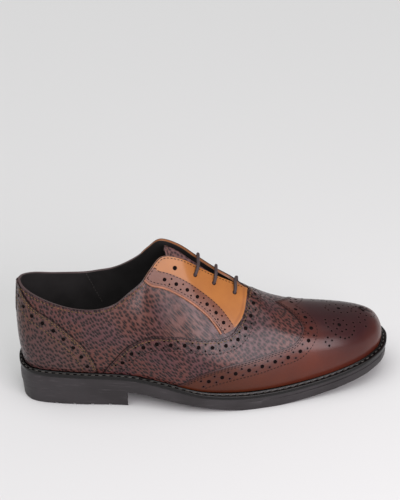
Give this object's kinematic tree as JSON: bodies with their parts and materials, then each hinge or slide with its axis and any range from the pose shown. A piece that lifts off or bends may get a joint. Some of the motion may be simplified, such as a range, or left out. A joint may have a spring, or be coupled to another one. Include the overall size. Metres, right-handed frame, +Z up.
{
  "type": "brogue shoe",
  "caption": "Low lace-up dress shoe with wing-tip brogue panels over a hollow leather upper, on a welted rubber sole with a stacked heel.",
  "frame": {"origin": "centre of the shoe's box seen from above, at the floor under the sole", "axes": "+X from heel to toe, +Y to the inner (medial) side of a right shoe, +Z up"},
  "size_m": [0.3104, 0.105, 0.1282],
  "materials": {
    "sole_rubber": "satin moulded rubber",
    "welt_leather": "polished black",
    "insole_leather": "smooth matt",
    "quarter_leather": "pebble grain",
    "tongue_leather": "pebble grain",
    "counter_leather": "pebble grain",
    "facing_leather": "smooth burnished",
    "vamp_leather": "pebble grain",
    "cap_leather": "smooth burnished",
    "lace_cotton": "waxed round cord"
  },
  "bodies": {
    "root": {"outsole": "sole_rubber", "welt": "welt_leather", "insole": "insole_leather", "upper": "quarter_leather", "tongue": "tongue_leather", "counter_patch": "counter_leather", "facing_lateral": "facing_leather", "facing_medial": "facing_leather", "vamp_panel": "vamp_leather", "wing_cap": "cap_leather", "lace": "lace_cotton"}
  },
  "joints": []
}
